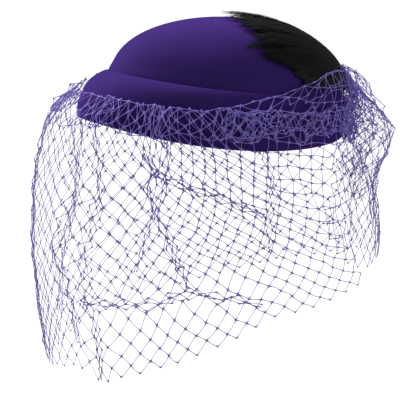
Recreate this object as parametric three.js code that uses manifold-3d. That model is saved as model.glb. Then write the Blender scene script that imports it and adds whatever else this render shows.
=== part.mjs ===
// Felt pillbox hat with a net veil and a pad of feathers, in millimetres.
// +Z is up as the hat is worn, the front of the hat looks along -Y and the wearer's left is +X.
// The origin is the centre of the head opening.
import * as THREE from 'three';
import { mergeVertices } from 'three/addons/utils/BufferGeometryUtils.js';
import Module from 'manifold-3d';

const wasm = await Module();
wasm.setup();

// Driving dimensions
const GAP = 0.3;
const FELT = 2.5;
const LEAN_BACK = THREE.MathUtils.degToRad(4.5);
const CROWN = { halfLength: 91.5, halfWidth: 80, setBack: 11.5, top: 82, flare: 3, flareHeight: 3, fullness: 1.92 };
const CREASE = { height: 31.5, rise: 4.5 };
const CUFF = { halfLength: 106, halfWidth: 89, hemHeight: 12 };
const RIM = { front: -2, side: -12.5, back: -2.5 };
const AROUND = 40;

// The outside of the cuff from the crease down to the belt: share of the way out and heights
const CUFF_ROWS = [
  { share: 0, front: 36, side: 30, back: 27 },
  { share: 0.15, front: 34.5, side: 30.3, back: 27 },
  { share: 0.45, front: 30.5, side: 29.5, back: 26.5 },
  { share: 0.72, front: 24.5, side: 27, back: 25 },
  { share: 0.9, front: 16, side: 22, back: 21 },
  { share: 1, front: 8, side: 11, back: 12 },
  { share: 0.99, front: 3, side: -6, back: 2.5 },
];
const HEM_SHARE = 0.97;

// The veil
const NET = { thickness: 1.2, columns: 34, rows: 8, strand: 0.1, headShare: 0.9 };

// How far the veil stays off the felt, over the shoulder of the cuff and over the feathers
const CLEAR = { felt: 0.6, shoulder: 3.8, shoulderHeight: 25, shoulderSpread: 10, feathers: 4.2 };

// Sections of the veil: where its hem, middle and heading lie round the hat, their heights,
// and how far the section puffs out under its heading
const VEIL_SECTIONS = [
  { hemTurn: -212, hem: -112, midTurn: -204, mid: -34, headTurn: -188, head: 47, puff: 34 },
  { hemTurn: -200, hem: -104, midTurn: -193, mid: -34, headTurn: -184, head: 46, puff: 38 },
  { hemTurn: -184, hem: -106, midTurn: -179, mid: -38, headTurn: -176, head: 38, puff: 37 },
  { hemTurn: -162, hem: -114, midTurn: -158, mid: -46, headTurn: -152, head: 24, puff: 22 },
  { hemTurn: -140, hem: -124, midTurn: -136, mid: -51, headTurn: -124, head: 19, puff: 6 },
  { hemTurn: -119, hem: -138, midTurn: -114, mid: -59, headTurn: -105, head: 19, puff: 0 },
  { hemTurn: -98, hem: -154, midTurn: -95, mid: -67, headTurn: -88, head: 19, puff: 0 },
  { hemTurn: -78, hem: -167, midTurn: -75, mid: -74, headTurn: -70, head: 19, puff: 0 },
  { hemTurn: -62, hem: -179, midTurn: -60, mid: -79, headTurn: -56, head: 19, puff: 0 },
  { hemTurn: -48, hem: -188, midTurn: -46, mid: -84, headTurn: -42, head: 19.5, puff: 0 },
  { hemTurn: -34, hem: -196, midTurn: -33, mid: -88, headTurn: -30, head: 20, puff: 0 },
  { hemTurn: -17, hem: -199, midTurn: -17, mid: -90, headTurn: -16, head: 20, puff: 0 },
  { hemTurn: 0, hem: -200, midTurn: 0, mid: -90, headTurn: 0, head: 20, puff: 0 },
  { hemTurn: 17, hem: -199, midTurn: 17, mid: -90, headTurn: 16, head: 20, puff: 0 },
  { hemTurn: 34, hem: -192, midTurn: 34, mid: -88, headTurn: 30, head: 20, puff: 0 },
  { hemTurn: 48, hem: -183, midTurn: 46, mid: -83, headTurn: 39, head: 17, puff: 0 },
  { hemTurn: 62, hem: -171, midTurn: 55, mid: -76, headTurn: 46, head: 15, puff: 0 },
  { hemTurn: 78, hem: -155, midTurn: 66, mid: -68, headTurn: 53, head: 14, puff: 0 },
  { hemTurn: 92, hem: -137, midTurn: 75, mid: -61, headTurn: 62, head: 15, puff: 0 },
  { hemTurn: 110, hem: -121, midTurn: 91, mid: -53, headTurn: 80, head: 21, puff: 0 },
  { hemTurn: 122, hem: -114, midTurn: 104, mid: -49, headTurn: 103, head: 36, puff: 0 },
  { hemTurn: 130, hem: -108, midTurn: 113, mid: -43, headTurn: 125, head: 43, puff: 0 },
  { hemTurn: 137.6, hem: -104, midTurn: 122, mid: -33, headTurn: 147, head: 46, puff: 0 },
];

// How far the veil stands out from the head at each height
const VEIL_RINGS = [
  { height: 60, front: 60, back: 60, side: 60 },
  { height: 30, front: 96, back: 96, side: 80 },
  { height: 20, front: 104, back: 104, side: 88 },
  { height: 12, front: 117, back: 106, side: 90.5 },
  { height: 0, front: 126, back: 107, side: 91.5 },
  { height: -20, front: 132, back: 120, side: 95 },
  { height: -50, front: 138, back: 131, side: 103 },
  { height: -100, front: 140, back: 135, side: 113 },
  { height: -145, front: 136, back: 134, side: 118 },
  { height: -200, front: 129, back: 129, side: 120 },
];

// Raised folds of the veil, each running from one place to another
const VEIL_FOLDS = [
  { turn: 18, height: 5, endTurn: 20, endHeight: -170, depth: 6, width: 7 },
  { turn: 30, height: 0, endTurn: 30, endHeight: -175, depth: 6, width: 7 },
  { turn: 56, height: -20, endTurn: 94, endHeight: -62, depth: 6, width: 8 },
  { turn: 53, height: -25, endTurn: 66, endHeight: -115, depth: 5, width: 8 },
  { turn: 30, height: -132, endTurn: 90, endHeight: -128, depth: 5, width: 8 },
  { turn: -22, height: 0, endTurn: -24, endHeight: -175, depth: 6, width: 8 },
  { turn: -70, height: -5, endTurn: -62, endHeight: -150, depth: 5, width: 9 },
  { turn: -120, height: -5, endTurn: -126, endHeight: -110, depth: 6, width: 10 },
  { turn: -158, height: 5, endTurn: -160, endHeight: -90, depth: 7, width: 9 },
  { turn: -182, height: 10, endTurn: -184, endHeight: -80, depth: 7, width: 8 },
];

// The gathered ends of the veil, sewn to the back of the cuff
const GATHER = { turn: 159, spread: 11, bottom: -2, top: 50, bulge: 8, pleats: 4, across: 13, levels: 7 };

// Feathers, from root to tip: turn round the crown and height angle up its dome, in degrees
const FEATHERS = [
  { rootTurn: 140, rootRise: 3, tipTurn: 112, tipRise: 7, width: 24, lift: 0.4 },
  { rootTurn: 144, rootRise: 4, tipTurn: 106, tipRise: 17, width: 26, lift: 0.8 },
  { rootTurn: 150, rootRise: 5, tipTurn: 101, tipRise: 25, width: 28, lift: 1.2 },
  { rootTurn: 154, rootRise: 6, tipTurn: 93, tipRise: 28, width: 28, lift: 1.6 },
  { rootTurn: 159, rootRise: 8, tipTurn: 84, tipRise: 37, width: 30, lift: 2 },
  { rootTurn: 162, rootRise: 10, tipTurn: 86, tipRise: 49, width: 28, lift: 2.2 },
  { rootTurn: 166, rootRise: 10, tipTurn: 78, tipRise: 58, width: 28, lift: 2.6 },
  { rootTurn: 170, rootRise: 10, tipTurn: 64, tipRise: 73, width: 28, lift: 3.2 },
  { rootTurn: 176, rootRise: 10, tipTurn: 330, tipRise: 86, width: 28, lift: 3.6 },
  { rootTurn: 186, rootRise: 9, tipTurn: 262, tipRise: 77, width: 28, lift: 2.8 },
  { rootTurn: 194, rootRise: 8, tipTurn: 248, tipRise: 62, width: 28, lift: 2 },
  { rootTurn: 200, rootRise: 6, tipTurn: 240, tipRise: 45, width: 26, lift: 1.4 },
];
const FEATHER = { thickness: 2.2, clear: 1.3, edge: 0.6, stations: 5, sharpness: 0.62, lowest: 6 };
const PAD_BACKING = { turn: 152, rise: 26, halfTurn: 40, halfRise: 22, clear: 1, thickness: 1.6, rings: 3, sides: 20 };

const MATERIALS = {
  felt: new THREE.MeshStandardMaterial({ color: 0x3b1f7a, roughness: 0.95, metalness: 0 }),
  net: new THREE.MeshStandardMaterial({ color: 0x5a4ba5, roughness: 0.7, metalness: 0 }),
  feather: new THREE.MeshStandardMaterial({ color: 0x101012, roughness: 0.5, metalness: 0 }),
};

const { lerp, smoothstep, degToRad, clamp } = THREE.MathUtils;

// A point on an oval ring at a turn from the front
function ringPoint(turn, halfLength, halfWidth, setBack, height) {
  return new THREE.Vector3(halfWidth * Math.sin(turn), setBack - halfLength * Math.cos(turn), height);
}

// A height given at the front, side and back, at any turn
function heightAt(row, turn) {
  const toFront = Math.cos(turn);
  const share = toFront * toFront;
  return lerp(row.side, toFront > 0 ? row.front : row.back, share);
}

function creaseHeight(turn) {
  return CREASE.height + CREASE.rise * Math.cos(turn);
}

// The outside of the domed crown: rise 0 is the crease and a quarter turn is the top
function domePoint(turn, rise, inset = 0) {
  const base = creaseHeight(turn);
  const climb = (CROWN.top - inset - base) * Math.sin(rise);
  const reach = Math.max(Math.cos(rise), 0) ** (2 / CROWN.fullness);
  const flare = CROWN.flare * 0.5 * (1 + Math.cos(turn)) * Math.exp(-climb / CROWN.flareHeight);
  const halfLength = (CROWN.halfLength - inset) * reach + flare;
  const halfWidth = (CROWN.halfWidth - inset) * reach + flare;
  return ringPoint(turn, halfLength, halfWidth, CROWN.setBack, base + climb);
}

// The outside of the cuff, a share of the way from the crown's foot out to the belt
function cuffPoint(turn, share, height, inset = 0) {
  const foot = domePoint(turn, 0);
  const belt = ringPoint(turn, CUFF.halfLength - inset, CUFF.halfWidth - inset, 0, 0);
  const outward = new THREE.Vector3(Math.sin(turn), -Math.cos(turn), 0);
  return foot.addScaledVector(outward, GAP).lerp(belt, share).setZ(height);
}

// The outside of the whole hat at a turn and height, for what lies on it
function hatPoint(turn, height) {
  const base = creaseHeight(turn);
  if (height >= base) {
    const climb = clamp((height - base) / (CROWN.top - base), 0, 1);
    return domePoint(turn, Math.asin(climb)).setZ(height);
  }
  let share = HEM_SHARE;
  for (let k = 1; k < CUFF_ROWS.length; k += 1) {
    const upper = heightAt(CUFF_ROWS[k - 1], turn);
    const lower = heightAt(CUFF_ROWS[k], turn);
    if (height <= upper && height >= lower) {
      share = lerp(CUFF_ROWS[k].share, CUFF_ROWS[k - 1].share, (height - lower) / Math.max(upper - lower, 0.01));
      return cuffPoint(turn, share, height);
    }
  }
  return cuffPoint(turn, height > base - 1 ? 0 : share, height);
}

// How far what lies over the hat stays off its felt at a turn and a height
function clearAt(turn, height) {
  const overShoulder = Math.exp(-(((height - CLEAR.shoulderHeight) / CLEAR.shoulderSpread) ** 2));
  const overPad = smoothstep(Math.cos(turn - degToRad(PAD_BACKING.turn)), 0.64, 0.79) * smoothstep(height, 22, 30);
  return CLEAR.felt + Math.max(CLEAR.shoulder * overShoulder, CLEAR.feathers * overPad);
}

// Makes a geometry from corner points and triangles, faces out
function solidGeometry(points, triangles) {
  const flat = points.flatMap((point) => [point.x, point.y, point.z]);
  let geometry = new THREE.BufferGeometry();
  geometry.setAttribute('position', new THREE.Float32BufferAttribute(flat, 3));
  let volume = 0;
  for (const [a, b, c] of triangles) {
    volume += points[a].dot(new THREE.Vector3().crossVectors(points[b], points[c]));
  }
  geometry.setIndex(triangles.flatMap(([a, b, c]) => (volume < 0 ? [a, c, b] : [a, b, c])));
  geometry = mergeVertices(geometry, 1e-3);
  geometry.computeVertexNormals();
  return geometry;
}

// Skins rings of points one after another; a ring of one point is a pole
function skinRings(rings, closed) {
  const points = rings.flat();
  const starts = [];
  let start = 0;
  for (const ring of rings) {
    starts.push(start);
    start += ring.length;
  }
  const triangles = [];
  const last = closed ? rings.length : rings.length - 1;
  for (let k = 0; k < last; k += 1) {
    const next = (k + 1) % rings.length;
    const count = Math.max(rings[k].length, rings[next].length);
    for (let n = 0; n < count; n += 1) {
      const a = starts[k] + (n % rings[k].length);
      const b = starts[k] + ((n + 1) % rings[k].length);
      const c = starts[next] + ((n + 1) % rings[next].length);
      const d = starts[next] + (n % rings[next].length);
      if (a !== b) triangles.push([a, b, c]);
      if (c !== d) triangles.push([a, c, d]);
    }
  }
  return solidGeometry(points, triangles);
}

function ringOf(pointAtTurn) {
  return Array.from({ length: AROUND }, (_, n) => pointAtTurn((2 * Math.PI * n) / AROUND));
}

// The domed crown, whose felt wall goes on down inside the cuff to the head opening
function crownGeometry() {
  const steps = 8;
  const hemInset = 2 * FELT + GAP;
  const neck = (turn, inset) => domePoint(turn, 0, inset).setZ(creaseHeight(turn) - 2 * FELT);
  const hem = (turn, up, inset) => cuffPoint(turn, HEM_SHARE, heightAt(RIM, turn) + up, hemInset + inset);
  const band = [CUFF.hemHeight + 2, 2];
  const rings = [[domePoint(0, Math.PI / 2).setX(0).setY(CROWN.setBack)]];
  for (let k = steps - 1; k >= 0; k -= 1) {
    rings.push(ringOf((turn) => domePoint(turn, (k / steps) * (Math.PI / 2))));
  }
  rings.push(ringOf((turn) => neck(turn, 0)));
  for (const up of band) rings.push(ringOf((turn) => hem(turn, up, 0)));
  for (const up of band.reverse()) rings.push(ringOf((turn) => hem(turn, up, FELT)));
  rings.push(ringOf((turn) => neck(turn, FELT)));
  for (let k = 0; k < steps; k += 1) {
    rings.push(ringOf((turn) => domePoint(turn, (k / steps) * (Math.PI / 2), FELT)));
  }
  rings.push([domePoint(0, Math.PI / 2, FELT).setX(0).setY(CROWN.setBack)]);
  return skinRings(rings, false);
}

// The turned-up cuff: a shelf out from the crown, a rounded shoulder, an outer face and a folded hem
function cuffGeometry() {
  const rings = CUFF_ROWS.map((row) => ringOf((turn) => cuffPoint(turn, row.share, heightAt(row, turn))));
  const hemRows = [
    { share: 0.985, inset: 0, up: 1.2 },
    { share: HEM_SHARE, inset: 0.8, up: 0 },
    { share: HEM_SHARE, inset: 2 * FELT - 0.8, up: 0 },
    { share: HEM_SHARE, inset: 2 * FELT, up: 1.2 },
    { share: HEM_SHARE, inset: 2 * FELT, up: CUFF.hemHeight },
    { share: HEM_SHARE, inset: FELT, up: CUFF.hemHeight + 1.5 },
  ];
  for (const row of hemRows) {
    rings.push(ringOf((turn) => cuffPoint(turn, row.share, heightAt(RIM, turn) + row.up, row.inset)));
  }
  for (const k of [4, 3, 2, 0]) {
    const row = CUFF_ROWS[k];
    rings.push(ringOf((turn) => cuffPoint(turn, row.share, heightAt(row, turn) - FELT, FELT)));
  }
  return skinRings(rings, true);
}

// Reads a column of a table at a place between its rows, smoothly
function readTable(rows, key, at, column) {
  const falling = rows[0][key] > rows[rows.length - 1][key];
  const ordered = falling ? [...rows].reverse() : rows;
  const place = clamp(at, ordered[0][key], ordered[ordered.length - 1][key]);
  let k = 1;
  while (k < ordered.length - 1 && ordered[k][key] < place) k += 1;
  const before = ordered[Math.max(k - 2, 0)];
  const low = ordered[k - 1];
  const high = ordered[k];
  const after = ordered[Math.min(k + 1, ordered.length - 1)];
  const span = high[key] - low[key];
  const share = (place - low[key]) / span;
  const slopeLow = ((high[column] - before[column]) / (high[key] - before[key])) * span;
  const slopeHigh = ((after[column] - low[column]) / (after[key] - low[key])) * span;
  const s2 = share * share;
  const s3 = s2 * share;
  return (2 * s3 - 3 * s2 + 1) * low[column] + (s3 - 2 * s2 + share) * slopeLow
    + (3 * s2 - 2 * s3) * high[column] + (s3 - s2) * slopeHigh;
}

// The parabola through a value at the hem, the middle and the heading
function alongRuling(hem, mid, head, share) {
  return hem * (1 - share) * (1 - 2 * share) + mid * 4 * share * (1 - share) + head * share * (2 * share - 1);
}

// How far the folds raise the veil at a turn in degrees and a height
function foldDepth(turn, height) {
  const reach = 2;
  let depth = 0;
  for (const fold of VEIL_FOLDS) {
    const across = (fold.endTurn - fold.turn) * reach;
    const down = fold.endHeight - fold.height;
    const dx = (turn - fold.turn) * reach;
    const dz = height - fold.height;
    const along = clamp((dx * across + dz * down) / (across * across + down * down), 0, 1);
    const distance = Math.hypot(dx - along * across, dz - along * down);
    depth += fold.depth * Math.sin(Math.PI * (0.12 + 0.76 * along)) * Math.exp(-((distance / fold.width) ** 2));
  }
  return depth;
}

// The veil's own surface: place is the hem turn in degrees, share runs from hem to heading
function veilPoint(place, share) {
  const read = (column) => readTable(VEIL_SECTIONS, 'hemTurn', place, column);
  const turnDegrees = alongRuling(place, read('midTurn'), read('headTurn'), share);
  const height = alongRuling(read('hem'), read('mid'), read('head'), share);
  const turn = degToRad(turnDegrees);
  const outward = new THREE.Vector3(Math.sin(turn), -Math.cos(turn), 0);
  const ring = (column) => readTable(VEIL_RINGS, 'height', height, column);
  const halfLength = lerp(ring('front'), ring('back'), 0.5 * (1 - Math.cos(turn)));
  const hangsPlumb = -height * Math.tan(LEAN_BACK);
  const free = ringPoint(turn, halfLength, ring('side'), hangsPlumb, height);
  const worn = hatPoint(turn, height).addScaledVector(outward, clearAt(turn, height) + NET.thickness / 2);
  const puffed = read('puff') * Math.exp(-(((share - 0.73) / 0.16) ** 2));
  const loose = smoothstep(1 - share, 0.08, 0.3);
  const standOff = Math.max(free.sub(worn).dot(outward), 0);
  return worn.addScaledVector(outward, standOff + puffed + foldDepth(turnDegrees, height) * loose);
}

// Where a knot of the coarse net lies on the veil
function knotPlace(column, row) {
  const first = VEIL_SECTIONS[0].hemTurn;
  const last = VEIL_SECTIONS[VEIL_SECTIONS.length - 1].hemTurn;
  const share = row === NET.rows ? 1 : (row / (NET.rows - 1)) * NET.headShare;
  return { place: lerp(first, last, column / NET.columns), share };
}

// One cell between four knots: a frame of strands round a gap, filled in the heading
function netCell(column, row, sheet) {
  const corners = [[0, -1], [1, 0], [0, 1], [-1, 0]].map(([dc, dr]) => knotPlace(column + dc, row + dr));
  const cornerAt = (a, b) => {
    const mix = (key) => lerp(
      lerp(corners[0][key], corners[1][key], a), lerp(corners[3][key], corners[2][key], a), b);
    return sheet.corner(mix('place'), mix('share'));
  };
  const round = [[0, 0], [0.5, 0], [1, 0], [1, 0.5], [1, 1], [0.5, 1], [0, 1], [0, 0.5]];
  const outside = round.map(([a, b]) => cornerAt(a, b));
  const inside = round.map(([a, b]) => {
    const inward = (value) => lerp(value, 0.5, 2 * NET.strand);
    return cornerAt(inward(a), inward(b));
  });
  const middle = cornerAt(0.5, 0.5);
  for (let n = 0; n < round.length; n += 1) {
    const next = (n + 1) % round.length;
    sheet.triangles.push([outside[n], outside[next], inside[next]], [outside[n], inside[next], inside[n]]);
    if (row === NET.rows - 1) sheet.triangles.push([inside[n], inside[next], middle]);
  }
}

// A flat list of shared corners for a thin sheet
function emptySheet() {
  const known = new Map();
  const places = [];
  const corner = (place, share) => {
    const key = `${place.toFixed(4)} ${share.toFixed(5)}`;
    if (!known.has(key)) {
      known.set(key, places.length);
      places.push({ place, share });
    }
    return known.get(key);
  };
  return { corner, places, triangles: [] };
}

// Gives a thin sheet its two faces and the walls round its edges and gaps
function thickenSheet(sheet, pointAt, thickness) {
  const step = 0.01;
  const outer = [];
  const inner = [];
  for (const { place, share } of sheet.places) {
    const middle = pointAt(place, share);
    const along = pointAt(place + 50 * step, share).sub(pointAt(place - 50 * step, share));
    const up = pointAt(place, Math.min(share + step, 1)).sub(pointAt(place, Math.max(share - step, 0)));
    const normal = along.cross(up).normalize();
    outer.push(middle.clone().addScaledVector(normal, thickness / 2));
    inner.push(middle.clone().addScaledVector(normal, -thickness / 2));
  }
  const offset = outer.length;
  const triangles = [];
  const edges = new Set();
  for (const [a, b, c] of sheet.triangles) {
    triangles.push([a, b, c], [a + offset, c + offset, b + offset]);
    for (const [p, q] of [[a, b], [b, c], [c, a]]) edges.add(`${p} ${q}`);
  }
  for (const edge of edges) {
    const [p, q] = edge.split(' ').map(Number);
    if (!edges.has(`${q} ${p}`)) triangles.push([q, p, p + offset], [q, p + offset, q + offset]);
  }
  return solidGeometry([...outer, ...inner], triangles);
}

// The veil: one strip of net, gathered to the cuff at its heading, with zigzag edges
function veilGeometry() {
  const sheet = emptySheet();
  for (let row = 1; row < NET.rows; row += 1) {
    for (let column = 1; column < NET.columns; column += 1) {
      if ((column + row) % 2 === 1) netCell(column, row, sheet);
    }
  }
  return thickenSheet(sheet, veilPoint, NET.thickness);
}

// The pleated bunch into which both ends of the veil are drawn
function gatherGeometry() {
  const rings = [];
  for (let level = 0; level <= GATHER.levels; level += 1) {
    const up = level / GATHER.levels;
    const height = lerp(GATHER.bottom, GATHER.top, up);
    const swell = Math.sqrt(Math.sin(Math.PI * (0.06 + 0.88 * up)));
    const ring = [];
    for (const side of [1, -1]) {
      for (let n = 0; n < GATHER.across; n += 1) {
        const across = side > 0 ? n / (GATHER.across - 1) : 1 - n / (GATHER.across - 1);
        const turn = degToRad(GATHER.turn + GATHER.spread * swell * (2 * across - 1));
        const pleat = 1 + 0.14 * Math.cos(2 * Math.PI * GATHER.pleats * across);
        const bulge = GATHER.bulge * swell * Math.sin(Math.PI * (0.08 + 0.84 * across)) ** 0.6 * pleat;
        const outward = new THREE.Vector3(Math.sin(turn), -Math.cos(turn), 0);
        const out = clearAt(turn, height) + (side > 0 ? 1 + bulge : 0);
        ring.push(hatPoint(turn, height).addScaledVector(outward, out));
      }
    }
    rings.push(ring);
  }
  const middleOf = (ring) => ring.reduce((sum, p) => sum.add(p), new THREE.Vector3()).divideScalar(ring.length);
  return skinRings([[middleOf(rings[0])], ...rings, [middleOf(rings[rings.length - 1])]], false);
}

// A place on the crown from a turn and a rise in degrees, as a flat chart round the top
function chartPlace(turn, rise) {
  const out = 90 - rise;
  return new THREE.Vector2(out * Math.sin(degToRad(turn)), -out * Math.cos(degToRad(turn)));
}

// The point of the crown at a place on the chart, raised off the felt
function crownAt(place, raised) {
  const out = Math.min(place.length(), 90 - FEATHER.lowest);
  const turn = Math.atan2(place.x, -place.y);
  const rise = degToRad(90 - out);
  const point = domePoint(turn, rise);
  const middle = new THREE.Vector3(0, CROWN.setBack, CREASE.height - 20);
  return point.addScaledVector(point.clone().sub(middle).normalize(), raised);
}

// One feather: a slim leaf that follows the crown and lifts a little toward its tip
function featherGeometry(row) {
  const root = chartPlace(row.rootTurn, row.rootRise);
  const tip = chartPlace(row.tipTurn, row.tipRise);
  const across = tip.clone().sub(root).normalize();
  across.set(-across.y, across.x);
  const rings = [[crownAt(root, FEATHER.clear + FEATHER.edge)]];
  for (let k = 1; k < FEATHER.stations; k += 1) {
    const along = k / FEATHER.stations;
    const centre = root.clone().lerp(tip, along);
    const half = 0.5 * row.width * Math.sin(Math.PI * along ** FEATHER.sharpness) ** 0.8;
    const bottom = FEATHER.clear + row.lift * along * along;
    const top = bottom + FEATHER.thickness * (1 - 0.4 * along);
    const edge = (side, raised) => crownAt(centre.clone().addScaledVector(across, side * half), raised);
    rings.push([edge(-1, bottom), edge(0, bottom), edge(1, bottom),
      edge(1, bottom + FEATHER.edge), edge(0, top), edge(-1, bottom + FEATHER.edge)]);
  }
  rings.push([crownAt(tip, FEATHER.clear + row.lift + FEATHER.edge)]);
  return skinRings(rings, false);
}

// The stiff backing that the feathers are sewn to
function backingGeometry() {
  const middle = chartPlace(PAD_BACKING.turn, PAD_BACKING.rise);
  const shell = (raised) => {
    const rings = [[crownAt(middle, raised)]];
    for (let ring = 1; ring <= PAD_BACKING.rings; ring += 1) {
      const grow = ring / PAD_BACKING.rings;
      rings.push(Array.from({ length: PAD_BACKING.sides }, (_, n) => {
        const angle = (2 * Math.PI * n) / PAD_BACKING.sides;
        const place = middle.clone();
        place.x += PAD_BACKING.halfTurn * grow * Math.cos(angle);
        place.y += PAD_BACKING.halfRise * grow * Math.sin(angle);
        return crownAt(place, raised);
      }));
    }
    return rings;
  };
  const bottom = shell(PAD_BACKING.clear);
  const top = shell(PAD_BACKING.clear + PAD_BACKING.thickness).reverse();
  return skinRings([...bottom, ...top], false);
}

// Joins closed geometries into one body
function fuse(geometries) {
  const solids = geometries.map((geometry) => new wasm.Manifold(new wasm.Mesh({
    numProp: 3,
    vertProperties: new Float32Array(geometry.getAttribute('position').array),
    triVerts: new Uint32Array(geometry.getIndex().array),
  })));
  const mesh = solids.reduce((joined, solid) => joined.add(solid)).getMesh();
  const geometry = new THREE.BufferGeometry();
  geometry.setAttribute('position', new THREE.BufferAttribute(new Float32Array(mesh.vertProperties), 3));
  geometry.setIndex(new THREE.BufferAttribute(new Uint32Array(mesh.triVerts), 1));
  geometry.computeVertexNormals();
  return geometry;
}

function featherPadGeometry() {
  return fuse([backingGeometry(), ...FEATHERS.map(featherGeometry)]);
}

function piece(name, geometry, material) {
  const mesh = new THREE.Mesh(geometry, material);
  mesh.name = name;
  return mesh;
}

const hat = new THREE.Group();
hat.rotation.x = -LEAN_BACK;
hat.add(piece('crown', crownGeometry(), MATERIALS.felt));
hat.add(piece('cuff', cuffGeometry(), MATERIALS.felt));
hat.add(piece('veil', veilGeometry(), MATERIALS.net));
hat.add(piece('veil_gather', gatherGeometry(), MATERIALS.net));
hat.add(piece('feather_pad', featherPadGeometry(), MATERIALS.feather));

export default hat;
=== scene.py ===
import math

import bpy
import numpy as np
from mathutils import Matrix, Vector


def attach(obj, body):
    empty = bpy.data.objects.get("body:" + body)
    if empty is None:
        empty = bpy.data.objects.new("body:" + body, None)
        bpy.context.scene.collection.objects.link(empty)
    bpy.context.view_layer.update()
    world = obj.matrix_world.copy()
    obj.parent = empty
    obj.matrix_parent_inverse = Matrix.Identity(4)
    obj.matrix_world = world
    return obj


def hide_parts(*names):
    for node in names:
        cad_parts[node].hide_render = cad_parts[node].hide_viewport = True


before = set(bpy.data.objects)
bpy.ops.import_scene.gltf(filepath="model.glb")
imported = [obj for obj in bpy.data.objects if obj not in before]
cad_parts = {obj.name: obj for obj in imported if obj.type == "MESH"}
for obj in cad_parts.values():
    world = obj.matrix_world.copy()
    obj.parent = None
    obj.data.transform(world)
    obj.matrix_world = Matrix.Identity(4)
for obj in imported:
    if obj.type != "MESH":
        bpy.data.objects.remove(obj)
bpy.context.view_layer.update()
print("frame loaded with", len(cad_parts), "nodes")

# Felt pillbox hat with a net veil and a feather pad. The shapes below are in millimetres in the
# hat's own frame, with the front along -Y and turns counted from there towards +X. toMetres leans
# them back as the hat sits.
hatShape = {
    "leanBack": math.radians(4.5), "felt": 2.5, "gap": 0.3,
    "crownLength": 91.5, "crownWidth": 80, "crownBack": 11.5, "crownTop": 82, "fullness": 1.92,
    "flare": 3, "flareHeight": 3, "crease": 31.5, "creaseRise": 4.5,
    "cuffLength": 106, "cuffWidth": 89, "hemHeight": 12, "hemShare": 0.97,
    "rim": (-2, -12.5, -2.5),  # heights at the front, side and back
}
# Outside of the cuff from the crease to the belt: share of the way out, heights at front, side, back
cuffRows = [
    (0, 36, 30, 27), (0.15, 34.5, 30.3, 27), (0.45, 30.5, 29.5, 26.5), (0.72, 24.5, 27, 25),
    (0.9, 16, 22, 21), (1, 8, 11, 12), (0.99, 3, -6, 2.5),
]


def toMetres(points):
    c, s = math.cos(hatShape["leanBack"]), math.sin(hatShape["leanBack"])
    x, y, z = points[..., 0], points[..., 1], points[..., 2]
    return np.stack([x, y * c + z * s, z * c - y * s], -1) * 0.001


def outwardAt(turn):
    return np.stack([np.sin(turn), -np.cos(turn), 0 * turn], -1)


def ringPoint(turn, halfLength, halfWidth, setBack, height):
    return np.stack([halfWidth * np.sin(turn), setBack - halfLength * np.cos(turn), height + 0 * turn], -1)


def heightAt(heights, turn):
    toFront = np.cos(turn)
    return heights[1] + (np.where(toFront > 0, heights[0], heights[2]) - heights[1]) * toFront ** 2


def creaseHeight(turn):
    return hatShape["crease"] + hatShape["creaseRise"] * np.cos(turn)


# The dome at a turn and a rise, both in radians; rise 0 is the crease
def domePoint(turn, rise):
    base = creaseHeight(turn)
    climb = (hatShape["crownTop"] - base) * np.sin(rise)
    reach = np.maximum(np.cos(rise), 0) ** (2 / hatShape["fullness"])
    flare = hatShape["flare"] * 0.5 * (1 + np.cos(turn)) * np.exp(-climb / hatShape["flareHeight"])
    return ringPoint(turn, hatShape["crownLength"] * reach + flare, hatShape["crownWidth"] * reach + flare,
                     hatShape["crownBack"], base + climb)


# The cuff at a share of the way from the crease out to the belt
def cuffPoint(turn, share, height, inset=0.0):
    foot = domePoint(turn, 0 * turn) + hatShape["gap"] * outwardAt(turn)
    belt = ringPoint(turn, hatShape["cuffLength"] - inset, hatShape["cuffWidth"] - inset, 0, 0)
    points = foot + (belt - foot) * (share + 0 * turn)[..., None]
    points[..., 2] = height
    return points


# The outside of the whole hat, for what lies on it
def hatPoint(turn, height):
    base = creaseHeight(turn)
    climb = np.clip((height - base) / (hatShape["crownTop"] - base), 0, 1)
    share = np.where(height > base - 1, 0.0, hatShape["hemShare"])
    for upperRow, lowerRow in zip(cuffRows, cuffRows[1:]):
        upper, lower = heightAt(upperRow[1:], turn), heightAt(lowerRow[1:], turn)
        along = (height - lower) / np.maximum(upper - lower, 0.01)
        inside = (height <= upper) & (height >= lower)
        share = np.where(inside, lowerRow[0] + (upperRow[0] - lowerRow[0]) * along, share)
    points = np.where((height >= base)[..., None], domePoint(turn, np.arcsin(climb)),
                      cuffPoint(turn, share, height))
    points[..., 2] = height
    return points


def smoothstep(value, low, high):
    share = np.clip((value - low) / (high - low), 0, 1)
    return share * share * (3 - 2 * share)


def bell(value, middle, spread):
    return np.exp(-((value - middle) / spread) ** 2)


# Soft waves in space that never line up, so that nothing looks ruled
def waves(points, size, seed):
    rng = np.random.default_rng(seed)
    total = np.zeros(points.shape[:-1])
    for octave in range(6):
        direction = rng.normal(size=3)
        direction *= (1 + 0.35 * octave) * 2 * math.pi / (size * np.linalg.norm(direction))
        total += np.sin(points @ direction + rng.uniform(0, 2 * math.pi)) / (1 + 0.4 * octave)
    return total / 3


def activate(piece):
    if bpy.context.object and bpy.context.object.mode != "OBJECT":
        bpy.ops.object.mode_set(mode="OBJECT")
    bpy.ops.object.select_all(action="DESELECT")
    if piece:
        piece.select_set(True)
        bpy.context.view_layer.objects.active = piece


def applyModifier(piece, kind, **settings):
    modifier = piece.modifiers.new(kind, kind)
    for key, value in settings.items():
        setattr(modifier, key, value)
    activate(piece)
    bpy.ops.object.modifier_apply(modifier=modifier.name)


def finishPiece(piece, slot, material, *nodes):
    piece.data.materials.clear()
    piece.data.materials.append(material)
    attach(piece, "root")
    if nodes:
        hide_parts(*nodes)
    triangles = sum(len(polygon.vertices) - 2 for polygon in piece.data.polygons)
    print("made", piece.name, "with", triangles, "triangles")


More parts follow.
